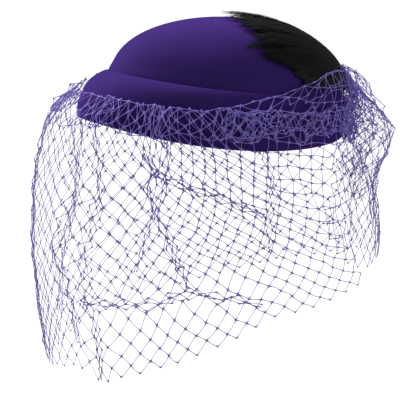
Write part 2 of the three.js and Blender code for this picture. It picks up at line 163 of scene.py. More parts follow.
# One joined mesh from points in metres and arrays of faces, one array for each number of sides
def joinedMesh(name, points, *faceArrays):
    mesh = bpy.data.meshes.new(name)
    mesh.vertices.add(len(points))
    mesh.vertices.foreach_set("co", np.asarray(points, np.float32).ravel())
    corners = np.concatenate([faces.ravel() for faces in faceArrays]).astype(np.int32)
    counts = np.concatenate([np.full(len(faces), faces.shape[1]) for faces in faceArrays])
    mesh.loops.add(len(corners))
    mesh.loops.foreach_set("vertex_index", corners)
    mesh.polygons.add(len(counts))
    mesh.polygons.foreach_set("loop_start", (np.cumsum(counts) - counts).astype(np.int32))
    mesh.update(calc_edges=True)
    mesh.validate()
    piece = bpy.data.objects.new(name, mesh)
    bpy.context.collection.objects.link(piece)
    activate(piece)
    bpy.ops.object.shade_smooth()
    return piece


# A socket with Python's own operators, so that shader maths reads as maths
class Wire:
    def __init__(self, tree, socket=None):
        self.tree = tree
        self.socket = socket

    def node(self, kind, settings=None, sockets=None, outlet=0):
        made = self.tree.nodes.new(kind)
        for key, value in (settings or {}).items():
            setattr(made, key, value)
        for key, value in (sockets or {}).items():
            if isinstance(value, Wire):
                self.tree.links.new(value.socket, made.inputs[key])
            else:
                made.inputs[key].default_value = value
        return Wire(self.tree, made.outputs[outlet])

    def maths(self, operation, first, second):
        return self.node("ShaderNodeMath", {"operation": operation}, {0: first, 1: second})

    def __add__(self, other):
        return self.maths("ADD", self, other)

    def __sub__(self, other):
        return self.maths("SUBTRACT", self, other)

    def __rsub__(self, other):
        return self.maths("SUBTRACT", other, self)

    def __mul__(self, other):
        return self.maths("MULTIPLY", self, other)

    __radd__ = __add__
    __rmul__ = __mul__

    def clamped(self):
        return self.node("ShaderNodeClamp", sockets={0: self})

    def blend(self, first, second):
        return self.node("ShaderNodeMix", {"data_type": "RGBA"}, {0: self, 6: first, 7: second}, 2)

    def noise(self, size, detail=3.0, roughness=0.55):
        return self.node("ShaderNodeTexNoise", sockets={
            "Vector": self, "Scale": 1 / size, "Detail": detail, "Roughness": roughness})

    def into(self, socket):
        self.tree.links.new(self.socket, socket)


def newMaterial(name, constants):
    material = bpy.data.materials.new(name)
    material.use_nodes = True
    shader = material.node_tree.nodes["Principled BSDF"]
    for key, value in constants.items():
        shader.inputs[key].default_value = value
    place = Wire(material.node_tree).node("ShaderNodeTexCoord", outlet="Object")
    return material, shader.inputs, place


feltLook = {
    "colour": (0.060, 0.026, 0.208, 1), "dark": (0.030, 0.013, 0.112, 1),
    "nap": 0.0005, "mottle": 0.0026, "cloud": 0.035, "relief": 0.45,
    "finish": {"Sheen Weight": 0.6, "Sheen Roughness": 0.38, "Sheen Tint": (0.32, 0.11, 1, 1),
               "Specular IOR Level": 0.05},
}


def makeFelt():
    material, sockets, place = newMaterial("purpleFelt", feltLook["finish"])
    nap = place.noise(feltLook["nap"], 2.0, 0.7)
    mottle = place.noise(feltLook["mottle"], 3.0, 0.65)
    cloud = place.noise(feltLook["cloud"], 3.0)
    tone = (cloud * 0.5 + mottle * 0.35 + nap * 0.35 - 0.1).clamped()
    tone.blend(feltLook["dark"], feltLook["colour"]).into(sockets["Base Color"])
    (nap * 0.12 + 0.86).into(sockets["Roughness"])
    place.node("ShaderNodeBump", sockets={
        "Strength": feltLook["relief"], "Distance": 0.0005, "Height": nap * 0.6 + mottle}).into(sockets["Normal"])
    return material


netLook = {
    "colour": (0.43, 0.31, 0.98, 1), "dark": (0.28, 0.205, 0.66, 1), "fibre": 0.0006, "patch": 0.02,
    "finish": {"Sheen Weight": 0.2, "Sheen Tint": (0.6, 0.55, 1, 1), "Specular IOR Level": 0.3},
}


def makeNetThread():
    material, sockets, place = newMaterial("violetNetThread", netLook["finish"])
    fibre = place.noise(netLook["fibre"], 2.0)
    patch = place.noise(netLook["patch"], 2.0)
    tone = (fibre * 0.5 + patch * 0.6 - 0.05).clamped()
    tone.blend(netLook["dark"], netLook["colour"]).into(sockets["Base Color"])
    (fibre * 0.2 + 0.5).into(sockets["Roughness"])
    return material


# The gleam colour is a painted sheen: lighter grey-green streaks painted into the black base colour in place of the
# feathers' glossy reflections
featherLook = {
    "colour": (0.0022, 0.0022, 0.0026, 1), "paintedGleam": (0.010, 0.011, 0.010, 1), "streak": 0.0012, "patch": 0.016,
    "finish": {"Specular IOR Level": 0.18},
}


def makeFeatherBlack():
    material, sockets, place = newMaterial("blackFeather", featherLook["finish"])
    streak = place.noise(featherLook["streak"], 2.0)
    patch = place.noise(featherLook["patch"], 3.0)
    # painted sheen: where the streak and patch noise runs high, the black is lightened towards the gleam colour
    tone = (streak * 0.6 + patch * 0.8 - 0.35).clamped()
    tone.blend(featherLook["colour"], featherLook["paintedGleam"]).into(sockets["Base Color"])
    (streak * 0.25 + 0.38).into(sockets["Roughness"])
    return material


purpleFelt = makeFelt()
violetThread = makeNetThread()
blackFeather = makeFeatherBlack()
print("materials made")


# A circle drawn up into a tube of rings, one unit apart; the tube stays open in edit mode
def raiseTube(name, around, rings):
    activate(None)
    bpy.ops.mesh.primitive_circle_add(vertices=around, radius=1, location=(0, 0, 0))
    piece = bpy.context.object
    piece.name = piece.data.name = name
    bpy.ops.object.mode_set(mode="EDIT")
    bpy.ops.mesh.select_all(action="SELECT")
    for _ in range(rings - 1):
        bpy.ops.mesh.extrude_region_move(TRANSFORM_OT_translate={"value": (0, 0, 1)})
    return piece


# Sets each ring of the tube to its real place by its number and the turn round it
def shapeTube(piece, pointAt, pole=None):
    bpy.ops.object.mode_set(mode="OBJECT")
    rough = np.array([vertex.co[:] for vertex in piece.data.vertices])
    points = pointAt(np.rint(rough[:, 2]).astype(int), np.arctan2(rough[:, 0], -rough[:, 1]))
    if pole is not None:
        points[np.hypot(rough[:, 0], rough[:, 1]) < 0.5] = pole
    piece.data.vertices.foreach_set("co", toMetres(points).astype(np.float32).ravel())
    piece.data.update()
    activate(piece)
    bpy.ops.object.mode_set(mode="EDIT")
    bpy.ops.mesh.select_all(action="SELECT")
    bpy.ops.mesh.normals_make_consistent(inside=False)
    bpy.ops.object.mode_set(mode="OBJECT")
    bpy.ops.object.shade_smooth()


crownMake = {"around": 72, "domeSteps": 16, "unevenness": 0.3}


def makeCrown():
    steps = crownMake["domeSteps"]
    hemInset = 2 * hatShape["felt"] + hatShape["gap"]

    def pointAt(ring, turn):  # rings 0 and 1 are the band inside the cuff, 2 the neck, the rest the dome
        rim = heightAt(hatShape["rim"], turn)
        bandHeight = rim + np.where(ring == 0, 2, hatShape["hemHeight"] + 2)
        band = cuffPoint(turn, hatShape["hemShare"], bandHeight, hemInset)
        neck = domePoint(turn, 0 * turn)
        neck[:, 2] = creaseHeight(turn) - 2 * hatShape["felt"]
        rise = np.clip((ring - 3) / steps, 0, 1) * math.radians(88)
        dome = domePoint(turn, rise)
        dome += (crownMake["unevenness"] * waves(dome, 70, 3) * np.sin(rise))[:, None] * outwardAt(turn)
        return np.select([(ring < 2)[:, None], (ring == 2)[:, None]], [band, neck], dome)

    crown = raiseTube("crownFelt", crownMake["around"], steps + 4)
    bpy.ops.mesh.edge_face_add()
    bpy.ops.mesh.poke()
    shapeTube(crown, pointAt, (0, hatShape["crownBack"], hatShape["crownTop"]))
    applyModifier(crown, "SUBSURF", levels=1, render_levels=1)
    applyModifier(crown, "SOLIDIFY", thickness=hatShape["felt"] * 0.001, offset=-1)
    finishPiece(crown, "felt", purpleFelt, "crown")


cuffMake = {"around": 64, "unevenness": 0.5, "waveSize": 60}


def makeCuff():
    felt, hemShare, hemHeight = hatShape["felt"], hatShape["hemShare"], hatShape["hemHeight"]
    # share of the way out, inset and height above the rim, round the folded hem and up inside
    hemRows = [(0.985, 0, 1.2), (hemShare, 0.8, 0), (hemShare, 2 * felt - 0.8, 0), (hemShare, 2 * felt, 1.2),
               (hemShare, 2 * felt, hemHeight), (hemShare, felt, hemHeight + 1.5)]
    linerRows = [cuffRows[k] for k in (4, 3, 2, 0)]

    def pointAt(ring, turn):
        rim = heightAt(hatShape["rim"], turn)
        rows = [cuffPoint(turn, share, heightAt(heights, turn)) for share, *heights in cuffRows]
        rows += [cuffPoint(turn, share, rim + up, inset) for share, inset, up in hemRows]
        rows += [cuffPoint(turn, share, heightAt(heights, turn) - felt, felt) for share, *heights in linerRows]
        points = np.stack(rows)[ring, np.arange(len(turn))]
        outside = (ring > 1) & (ring < len(cuffRows))
        dent = cuffMake["unevenness"] * np.abs(waves(points, cuffMake["waveSize"], 8)) * outside
        return points - dent[:, None] * outwardAt(turn)

    rings = len(cuffRows) + len(hemRows) + len(linerRows)
    cuff = raiseTube("cuffFelt", cuffMake["around"], rings)
    bpy.ops.mesh.select_mode(type="EDGE")
    bpy.ops.mesh.select_all(action="DESELECT")
    bpy.ops.mesh.select_non_manifold()
    bpy.ops.mesh.bridge_edge_loops()
    shapeTube(cuff, pointAt)
    applyModifier(cuff, "SUBSURF", levels=2, render_levels=2)
    finishPiece(cuff, "felt", purpleFelt, "cuff")


makeCrown()
makeCuff()

# The veil's strip by its sections, from its far end at the gather, round by the back, -X and the front
# to its near end at +X: half columns since the section before, turn and height of the hem, of the top of
# the clean net and of the gathered edge, how many half rows hang clean, how far the section bends and
# puffs out, and from which half row it is there
veilSections = [
    (0, -244, -62, -230, -3, -208, 47, 13, 0, 6, 0), (3, -240, -80, -224, -4, -205, 47, 13, 0, 12, 0),
    (3, -233, -94, -216, -5, -200, 47, 13, 0, 22, 0), (3.5, -222, -98, -208, -6, -194, 47, 13, 0, 30, 0),
    (3, -212, -97, -200, -6, -188, 47, 13, 0, 34, 0), (4, -200, -95, -191, -6, -184, 46, 12.5, 0, 38, 0),
    (4.5, -184, -97, -177, -6, -176, 38, 12.5, 0, 37, 0), (6, -162, -106, -156, -6, -152, 24, 14, 0, 22, 0),
    (6, -140, -120, -133, -6, -124, 19, 16, 0, 6, 0), (6, -119, -137, -111, -6, -105, 19, 18, 0, 0, 0),
    (6, -98, -153, -93, -5, -88, 19, 20, 0, 0, 0), (5.5, -78, -167, -73, -5, -70, 22, 21, 0, 0, 0),
    (4.5, -62, -179, -58, -4, -56, 28, 21, 0, 0, 0), (4.5, -48, -188, -44, -3, -42, 32, 21, 0, 0, 0),
    (4.5, -34, -194, -31, -2, -30, 27, 21.5, 0, 0, 0), (5, -17, -194, -16.5, 0, -16, 21, 22, 0, 0, 0),
    (5, 0, -192, 0, 0, 0, 20, 22, 0, 0, 0), (4, 15, -187, 14, 0, 14, 20, 22, 0, 0, 0),
    (4, 28, -184, 26, -1, 25, 20, 22, 0, 0, 0), (2.8, 38, -192, 33, -1, 32, 19, 22, 0, 0, 0),
    (3.2, 48, -183, 39, -2, 38, 18, 22, 1, 0, 0),
    (4, 61, -172, 45, -4, 43, 17, 22, 2, 0, 0), (4, 73, -159, 50, -4, 47, 16, 22, 4, 0, 0),
    (4, 85, -146, 55, -5, 51, 15.5, 21.5, 6, 0, 0), (4.2, 98, -130, 62, -6, 57, 15.5, 21.5, 7, 0, 0),
    (3.6, 110, -124, 70, -8, 63, 16, 21.2, 6, 0, 0), (3, 120, -117, 78, -9, 69, 16.5, 21, 5, 0, 0),
    (2.4, 129, -112, 85, -10, 76, 17, 21, 3.5, 0, 0), (2, 136, -106, 93, -6, 81, 21, 20, 2.5, 0, 1),
    (1, 137, -97, 96, -1, 84, 23, 20, 0, 0, 4), (1, 143, -97, 100, -3, 87, 25, 19, 0, 0, 8),
    (1, 143, -88, 105.5, -4, 90, 30, 18, 0, 0, 12), (2, 153, -79, 116.5, -4, 95, 41, 16, 0, 0, 12.5),
    (2, 171, -68, 132, -5, 103, 48, 14, 0, 0, 13), (2, 180, -57, 141, 6, 110, 58, 14, 0, 0, 13),
    (2, 188, -46, 149, 17, 117, 70, 14, 0, 0, 13), (2, 195, -35, 156, 28, 125, 80, 14, 0, 0, 13),
]
# The straight selvedge over the +X side, where the net is folded down: turns and heights
selvedge = np.array([(60, 17), (76, 17), (87, 25), (98, 31), (110, 38), (123, 46), (134, 48), (150, 47), (175, 47)])
# How far the free veil stands out from the middle: height, then front, back and side
veilRings = np.array([
    (60, 60, 60, 60), (30, 96, 96, 80), (20, 104, 104, 88), (12, 117, 106, 90.5), (0, 126, 107, 91.5),
    (-20, 132, 120, 95), (-50, 138, 131, 103), (-100, 140, 135, 113), (-145, 136, 134, 118),
    (-200, 129, 129, 120),
])
# Raised folds: turn and height at each end, depth and width
veilFolds = [
    (18, 5, 20, -170, 6, 7), (30, 0, 30, -175, 6, 7), (56, -20, 94, -62, 6, 8), (53, -25, 66, -115, 5, 8),
    (30, -132, 90, -128, 5, 8), (-22, 0, -24, -175, 6, 8), (-70, -5, -62, -150, 5, 9),
    (-120, -5, -126, -110, 6, 10), (-158, 5, -160, -90, 7, 9), (-182, 10, -184, -80, 7, 8),
]
# Bunched lines where the net is drawn together: places of turn and height, strength and width
veilBunches = [
    ([(18, 0), (22, -28), (24, -57), (19, -96), (24, -133), (28, -163)], 0.85, 13),
    ([(28, -1), (33, -26), (35, -54), (32, -100), (33, -126), (37, -158), (39, -187)], 0.85, 13),
    ([(49, -19), (54, -29), (51, -40), (55, -54), (60, -75), (65, -95), (68, -111)], 0.6, 10),
    ([(50, -22), (57, -34), (66, -39), (75, -44), (84, -50), (92, -57)], 0.6, 10),
    ([(33, -131), (45, -128), (59, -125), (65, -116), (72, -114), (80, -116), (92, -121)], 0.75, 10),
    ([(-10, 0), (-13, -60), (-9, -120), (-14, -180)], 0.6, 14), ([(-46, 0), (-52, -70), (-44, -165)], 0.6, 14),
    ([(-88, 0), (-92, -60), (-84, -140)], 0.5, 14), ([(-128, -5), (-134, -60), (-132, -115)], 0.6, 14),
    ([(-166, 20), (-170, -30), (-168, -95)], 0.6, 12), ([(-190, 30), (-192, -20), (-196, -85)], 0.6, 12),
    ([(-212, 25), (-210, -25), (-214, -60)], 0.5, 10),
]
mmPerDegree = 2.0  # of turn, on the veil
netClear = {
    "felt": 1.2, "shoulder": 3.8, "shoulderHeight": 25, "shoulderSpread": 10,
    "feathers": 4.2, "padTurn": 152, "padEdge": (0.64, 0.79), "padFoot": (22, 30), "puffHeight": 2, "puffSpread": 27,
}


# Reads columns of a table at places between its rows, smoothly
def readTable(table, places, *columns):
    rows = table if table[0, 0] < table[-1, 0] else table[::-1]
    keys = rows[:, 0]
    at = np.clip(places, keys[0], keys[-1])
    high = np.clip(np.searchsorted(keys, at), 1, len(keys) - 1)
    low = high - 1
    before, after = np.maximum(low - 1, 0), np.minimum(high + 1, len(keys) - 1)
    span = keys[high] - keys[low]
    share = (at - keys[low]) / span
    s2, s3 = share ** 2, share ** 3
    found = []
    for column in columns:
        values = rows[:, column]
        slopeLow = (values[high] - values[before]) / (keys[high] - keys[before]) * span
        slopeHigh = (values[after] - values[low]) / (keys[after] - keys[low]) * span
        found.append((2 * s3 - 3 * s2 + 1) * values[low] + (s3 - 2 * s2 + share) * slopeLow
                     + (3 * s2 - 2 * s3) * values[high] + (s3 - s2) * slopeHigh)
    return found


# How far off the felt the net lies: more over the cuff's shoulder and over the feathers
def clearAt(turn, height):
    overShoulder = bell(height, netClear["shoulderHeight"], netClear["shoulderSpread"])
    overPad = smoothstep(np.cos(turn - math.radians(netClear["padTurn"])), *netClear["padEdge"])
    overPad = overPad * smoothstep(height, *netClear["padFoot"])
    return netClear["felt"] + np.maximum(netClear["shoulder"] * overShoulder, netClear["feathers"] * overPad)


def foldDepth(turn, height):
    depth = 0 * turn
    for turn0, height0, turn1, height1, deep, width in veilFolds:
        across, down = (turn1 - turn0) * mmPerDegree, height1 - height0
        dx, dz = (turn - turn0) * mmPerDegree, height - height0
        along = np.clip((dx * across + dz * down) / (across ** 2 + down ** 2), 0, 1)
        distance = np.hypot(dx - along * across, dz - along * down)
        depth += deep * np.sin(math.pi * (0.12 + 0.76 * along)) * bell(distance, 0, width)
    return depth


# Draws places of the net toward the bunched lines and tells how bunched each one is
def bunchUp(turn, height):
    bunched = 0 * turn
    for line, strength, width in veilBunches:
        for (turn0, height0), (turn1, height1) in zip(line, line[1:]):
            dx, dz = (turn1 - turn0) * mmPerDegree, height1 - height0
            px, pz = (turn - turn0) * mmPerDegree, height - height0
            along = np.clip((px * dx + pz * dz) / (dx ** 2 + dz ** 2), 0, 1)
            awayX, awayZ = px - along * dx, pz - along * dz
            near = np.exp(-(awayX ** 2 + awayZ ** 2) / width ** 2) * np.where((along > 0) & (along < 1), 1, 0.5)
            turn = turn - strength * near * awayX / mmPerDegree
            height = height - strength * near * awayZ
            bunched = np.maximum(bunched, near)
    return turn, height, bunched


# A point of the veil's surface at a turn in degrees and a height; extra lifts it off
def veilPoint(turnDegrees, height, puff, loose=1.0, extra=0.0):
    turn = np.radians(turnDegrees)
    front, back, side = readTable(veilRings, height, 1, 2, 3)
    halfLength = front + (back - front) * 0.5 * (1 - np.cos(turn))
    free = ringPoint(turn, halfLength, side, -height * math.tan(hatShape["leanBack"]), height)
    worn = hatPoint(turn, height) + clearAt(turn, height)[..., None] * outwardAt(turn)
    standOff = np.maximum(((free - worn) * outwardAt(turn)).sum(-1), 0)
    swell = puff * bell(height, netClear["puffHeight"], netClear["puffSpread"])
    out = standOff + swell + foldDepth(turnDegrees, height) * loose + extra
    return worn + out[..., None] * outwardAt(turn)


threadMake = {
    "radius": 0.225, "knotRadius": 0.68, "knotReach": 1.3, "knotFlatness": 0.2, "beadSize": 1.15,
    "stations": (0, 0.07, 0.18, 0.5, 0.82, 0.93, 1), "sag": 0.35,
}


# Threads between the knots of a net as joined tubes, thickened into a soft star at each knot
def knottedNet(name, knots, links, seed):
    rng = np.random.default_rng(seed)
    along = np.array(threadMake["stations"])
    start, end = knots[links[:, 0]], knots[links[:, 1]]
    span = end - start
    length = np.linalg.norm(span, axis=1)
    direction = span / np.maximum(length, 1e-6)[:, None]
    inward = start + end
    inward = inward * (-1, -1, 0) / np.maximum(np.linalg.norm(inward[:, :2], axis=1), 1e-6)[:, None]
    sideways = np.cross(direction, inward)
    sideways /= np.maximum(np.linalg.norm(sideways, axis=1), 1e-6)[:, None]
    facing = np.cross(sideways, direction)
    count, rings = len(links), len(along)
    bow = rng.normal(0, threadMake["sag"], (count, 2))
    arch = np.sin(math.pi * along)[None, :, None]
    path = start[:, None] + span[:, None] * along[None, :, None]
    path += arch * (bow[:, None, :1] * sideways[:, None] + bow[:, None, 1:] * facing[:, None])
    nearKnot = np.minimum(along[None], 1 - along[None]) * length[:, None]
    swell = (threadMake["knotRadius"] - threadMake["radius"]) * np.exp(-(nearKnot / threadMake["knotReach"]) ** 2)
    width = threadMake["radius"] + swell
    height = threadMake["radius"] + threadMake["knotFlatness"] * swell
    corners = np.stack([
        path + width[..., None] * sideways[:, None], path + height[..., None] * facing[:, None],
        path - width[..., None] * sideways[:, None], path - height[..., None] * facing[:, None],
    ], 2)
    points = corners.reshape(-1, 3)
    first = (np.arange(count)[:, None, None] * rings + np.arange(rings - 1)[None, :, None]) * 4
    side = np.arange(4)[None, None]
    nextSide = (side + 1) % 4
    quads = np.stack([first + side, first + 4 + side, first + 4 + nextSide, first + nextSide], -1).reshape(-1, 4)
    # a small flat bead closes the tubes at each knot
    outward = knots * (1, 1, 0)
    outward /= np.maximum(np.linalg.norm(outward, axis=1), 1e-6)[:, None]
    across = np.stack([-outward[:, 1], outward[:, 0], 0 * outward[:, 0]], 1)
    up = np.broadcast_to((0.0, 0.0, 1.0), knots.shape)
    used = np.unique(links)
    size = threadMake["knotRadius"] * threadMake["beadSize"]
    bead = np.stack([knots + size * across, knots + size * up, knots - size * across, knots - size * up,
                     knots + 0.5 * size * outward, knots - 0.5 * size * outward], 1)[used].reshape(-1, 3)
    base = len(points) + np.arange(len(used))[:, None, None] * 6
    pattern = np.array([(0, 1, 4), (1, 2, 4), (2, 3, 4), (3, 0, 4), (1, 0, 5), (2, 1, 5), (3, 2, 5), (0, 3, 5)])
    triangles = (base + pattern[None]).reshape(-1, 3)
    return joinedMesh(name, toMetres(np.concatenate([points, bead])), quads, triangles)


# Numbers the knots of a diamond net on a grid of half columns and half rows and links them
def diamondLinks(columns, rows):
    links = []
    for column in range(columns):
        for row in range(rows + 1):
            if (column + row) % 2 == 0:
                here = column * (rows + 1) + row
                if row < rows:
                    links.append((here, here + rows + 2))
                if row > 0:
                    links.append((here, here + rows))
    return np.array(links)


veilMake = {
    "halfRows": 24, "rowLength": 7.4, "jitter": 0.3, "wander": 1.0, "selvedgeStep": 5.3, "foldedDown": 1.7,
    "stitchEvery": 25, "stitchAt": 3, "stitchPull": 0.3, "crumpleOut": 2.0, "crumpleAside": 1.2,
    "overlap": 1.5, "overlapTurns": (95, 115), "foldFrom": 72, "beltRadius": 95, "driftSize": 38, "crumpleSize": 15,
    "cuffHeights": (-16, 10), "cuffLeft": (88, 74), "cuffRight": (-160, -140), "looseBelow": (14, 50),
}


def makeVeil():
    table = np.array(veilSections, float)
    table[:, 0] = np.cumsum(table[:, 0])
    columns, rows = int(table[-1, 0]), veilMake["halfRows"]
    place, row = np.meshgrid(np.arange(columns + 1.0), np.arange(rows + 1.0), indexing="ij")
    hemTurn, hem, topTurn, top, edgeTurn, edge, clean, bend, puff, cut = readTable(table, place, *range(1, 11))
    rng = np.random.default_rng(21)
    low = np.clip(row / clean, 0, 1)
    high = np.clip((row - clean) / (rows - clean), 0, 1)
    turn = hemTurn + (topTurn - hemTurn) * low + 4 * bend * low * (1 - low) + (edgeTurn - topTurn) * high
    height = hem + (top - hem) * low + (edge - top) * high
    # how much longer the strip is here than the space it has
    reach = np.hypot(edge - top, np.radians(edgeTurn - topTurn) * veilMake["beltRadius"])
    slack = np.clip((rows - clean) * veilMake["rowLength"] / reach - 1, 0, 2) * smoothstep(row, clean - 2, clean + 1)
    # the gathered edge is drawn together at each stitch
    wave = 2 * math.pi * (turn - veilMake["stitchAt"]) / veilMake["stitchEvery"]
    onCuff = smoothstep(height, *veilMake["cuffHeights"]) * smoothstep(turn, *veilMake["cuffLeft"])
    onCuff = onCuff * smoothstep(turn, *veilMake["cuffRight"])
    turn = turn - veilMake["stitchPull"] * onCuff * veilMake["stitchEvery"] / (2 * math.pi) * np.sin(wave)
    turn, height, bunched = bunchUp(turn, height)
    over = np.maximum(height - np.interp(turn, *selvedge.T), 0) * (turn > veilMake["foldFrom"])
    height = height - veilMake["foldedDown"] * over
    bunched = np.maximum(bunched * 0.8 * (height < 5), onCuff * smoothstep(np.cos(wave), 0.2, 1))
    crumple = np.clip(slack * 0.5 + bunched * 0.8 + over * 0.06, 0, 1)
    out = np.abs(rng.normal(0, 1, turn.shape)) * veilMake["crumpleOut"] * crumple + 1.2 * smoothstep(over, 0, 4)
    height = height + rng.normal(0, 1, turn.shape) * veilMake["crumpleAside"] * crumple
    turn = turn + rng.normal(0, 0.55, turn.shape) * veilMake["crumpleAside"] * crumple
    loose = smoothstep(edge - height, *veilMake["looseBelow"]) * smoothstep(cut, 2, 0)
    out += veilMake["overlap"] * smoothstep(turn, *veilMake["overlapTurns"])
    knots = veilPoint(turn, height, puff, loose, out)
    drift = [waves(knots, veilMake["driftSize"], seed) for seed in (31, 32, 33)]
    muss = [waves(knots, veilMake["crumpleSize"], seed) for seed in (34, 35, 36)]
    flow = np.stack(drift, -1) * veilMake["wander"] + np.stack(muss, -1) * crumple[..., None] * 2
    knots = (knots + flow + rng.normal(0, veilMake["jitter"], knots.shape)).reshape(-1, 3)
    links = diamondLinks(columns, rows)
    links = links[(row >= cut - 0.6).ravel()[links].all(1)]
    # the selvedge's own thread
    border = np.arange(76, 150, veilMake["selvedgeStep"])
    borderPoints = veilPoint(border, np.interp(border, *selvedge.T), 0, 0, 2 + 0 * border)
    chain = len(knots) + np.arange(len(border) - 1)
    links = np.concatenate([links, np.stack([chain, chain + 1], 1)])
    veil = knottedNet("veilNet", np.concatenate([knots, borderPoints]), links, 5)
    finishPiece(veil, "net", violetThread, "veil")
    hemLine = knots.reshape(columns + 1, rows + 1, 3)[:, 0]
    print("veil is", round(np.linalg.norm(np.diff(hemLine, axis=0), axis=1).sum()), "mm along its hem")


makeVeil()


# The net's top edge turned over on the cuff and crumpled: turn, lowest and highest heights
headingPath = np.array([
    (-165, -3, 14), (-90, -3, 16), (-60, 0, 22), (-42, 2, 26), (-20, 0, 20), (0, -2, 19), (40, -4, 17), (70, -4, 15),
    (85, -3, 17), (105, 0, 18), (125, 2, 20), (150, 0, 26),
])
headingRuns = [(-165, 92), (76, 150), (84, 152)]
headingMake = {
    "pitch": 1.9, "halfRows": 4, "pull": 0.55, "aside": 1.0, "tall": 1.5, "out": 1.7, "wave": 3.5,
    "mussedLeast": 0.6, "mussedMore": 1.1, "stitchedTo": (90, 80),
}


def makeHeading():
    rows, rng = headingMake["halfRows"], np.random.default_rng(52)
    knots, links, count = [], [], 0
    for start, end in headingRuns:
        columns = int((end - start) / headingMake["pitch"] / 2) * 2
        turn, row = np.meshgrid(np.linspace(start, end, columns + 1), np.arange(rows + 1.0), indexing="ij")
        bottom, top = (np.interp(turn, headingPath[:, 0], headingPath[:, k]) for k in (1, 2))
        bottom = bottom + headingMake["wave"] * np.sin(turn * 0.31 + 1) * np.sin(turn * 0.13)
        wave = 2 * math.pi * (turn - veilMake["stitchAt"]) / veilMake["stitchEvery"]
        stitched = smoothstep(turn, *headingMake["stitchedTo"])
        atStitch = stitched * smoothstep(np.cos(wave), 0.1, 1) + (1 - stitched) * 0.6
        mussed = headingMake["mussedLeast"] + headingMake["mussedMore"] * atStitch
        height = bottom + (top - bottom) * row / rows + rng.normal(0, headingMake["tall"], turn.shape) * mussed
        turn = turn - headingMake["pull"] * stitched * veilMake["stitchEvery"] / (2 * math.pi) * np.sin(wave)
        turn = turn + rng.normal(0, headingMake["aside"], turn.shape) * mussed
        out = 0.4 + np.abs(rng.normal(0, headingMake["out"], turn.shape)) * mussed
        out += veilMake["overlap"] * smoothstep(turn, *veilMake["overlapTurns"])
        knots.append(veilPoint(turn, height, 0, 0, out).reshape(-1, 3))
        # loops along both edges, so that no thread ends in a spike
        edges = np.array([(c * (rows + 1) + r, (c + 2) * (rows + 1) + r) for c in range(0, columns - 1, 2)
                          for r in (0, rows)])
        links.append(np.concatenate([diamondLinks(columns, rows), edges]) + count)
        count += turn.size
    heading = knottedNet("veilHeading", np.concatenate(knots), np.concatenate(links), 8)
    finishPiece(heading, "net", violetThread, "veil")


makeHeading()


pleatMake = {"halfWidth": 5.5, "halfColumns": 2, "step": 7.5, "aside": 0.8, "out": 1.0}


# Where the net is drawn together it doubles back on itself in narrow pleats
def makePleats():
    across, rng = pleatMake["halfColumns"], np.random.default_rng(61)
    knots, links, count = [], [], 0
    for line, strength, _ in veilBunches:
        places = np.array(line, float) * (mmPerDegree, 1)
        along = np.concatenate([[0], np.cumsum(np.linalg.norm(np.diff(places, axis=0), axis=1))])
        steps = int(along[-1] / pleatMake["step"])
        s, side = np.meshgrid(np.linspace(0, along[-1], steps + 1), np.linspace(-1, 1, across + 1), indexing="ij")
        middle = np.stack([np.interp(s, along, places[:, k]) for k in (0, 1)], -1)
        ahead = np.gradient(middle[:, 0], axis=0)
        ahead /= np.linalg.norm(ahead, axis=1)[:, None]
        beside = np.stack([-ahead[:, 1], ahead[:, 0]], 1)[:, None]
        taper = np.sin(math.pi * (0.08 + 0.84 * s / along[-1]))[..., None]
        flat = middle + side[..., None] * pleatMake["halfWidth"] * strength * taper * beside
        flat += rng.normal(0, pleatMake["aside"], flat.shape)
        out = 0.8 + np.abs(rng.normal(0, pleatMake["out"], s.shape))
        knots.append(veilPoint(flat[..., 0] / mmPerDegree, flat[..., 1], 0, 1, out).reshape(-1, 3))
        links.append(diamondLinks(steps, across) + count)
        count += s.size
    pleats = knottedNet("veilPleats", np.concatenate(knots), np.concatenate(links), 9)
    finishPiece(pleats, "net", violetThread, "veil")


makePleats()


# The gathered ends of the veil at the back and loose net inside the puff behind them, as layers: turn
# and how far to each side, lowest and highest heights, how far the layer bulges and stands out, its
# pleats, half columns and half rows
gatherLayers = [
    (156, 15, -6, 44, 1, 0.6, 3, 14, 12), (158, 13, -4, 50, 5, 1.6, 4, 18, 14), (158, 12, -8, 50, 9, 2.4, 5, 18, 14),
]
puffLayers = [(168, 22, -36, 50, 16, 4, 3, 13, 13), (172, 24, -54, 46, 24, 7, 2, 11, 13)]
gatherMake = {"jitter": 1.4, "pleatDepth": 0.35}


def pleatedNet(name, layers, seed, *nodes):
    rng = np.random.default_rng(seed)
    knots, links = [], []
    for number, (middle, spread, bottom, top, bulge, standOff, pleats, columns, rows) in enumerate(layers):
        across, up = np.meshgrid(np.linspace(0, 1, columns + 1), np.linspace(0, 1, rows + 1), indexing="ij")
        height = bottom + (top - bottom) * up
        swell = np.sqrt(np.sin(math.pi * (0.06 + 0.88 * up)))
        turn = np.radians(middle + spread * swell * (2 * across - 1))
        pleat = 1 + gatherMake["pleatDepth"] * np.cos(2 * math.pi * pleats * across + 2 * number + 3 * up)
        out = standOff + bulge * pleat * swell * np.sin(math.pi * (0.08 + 0.84 * across)) ** 0.6
        sheet = hatPoint(turn, height) + out[..., None] * outwardAt(turn)
        sheet = sheet + rng.normal(0, gatherMake["jitter"], sheet.shape)
        links.append(diamondLinks(columns, rows) + sum(len(sheetKnots) for sheetKnots in knots))
        knots.append(sheet.reshape(-1, 3))
    piece = knottedNet(name, np.concatenate(knots), np.concatenate(links), seed)
    finishPiece(piece, "net", violetThread, *nodes)


pleatedNet("veilGather", gatherLayers, 44, "veil_gather")
pleatedNet("veilPuff", puffLayers, 46, "veil")


# A place on the crown as a flat chart round its top, from a turn and a rise in degrees
def chartPlace(turn, rise):
    out = 90 - rise
    return np.stack([out * np.sin(np.radians(turn)), -out * np.cos(np.radians(turn))], -1)


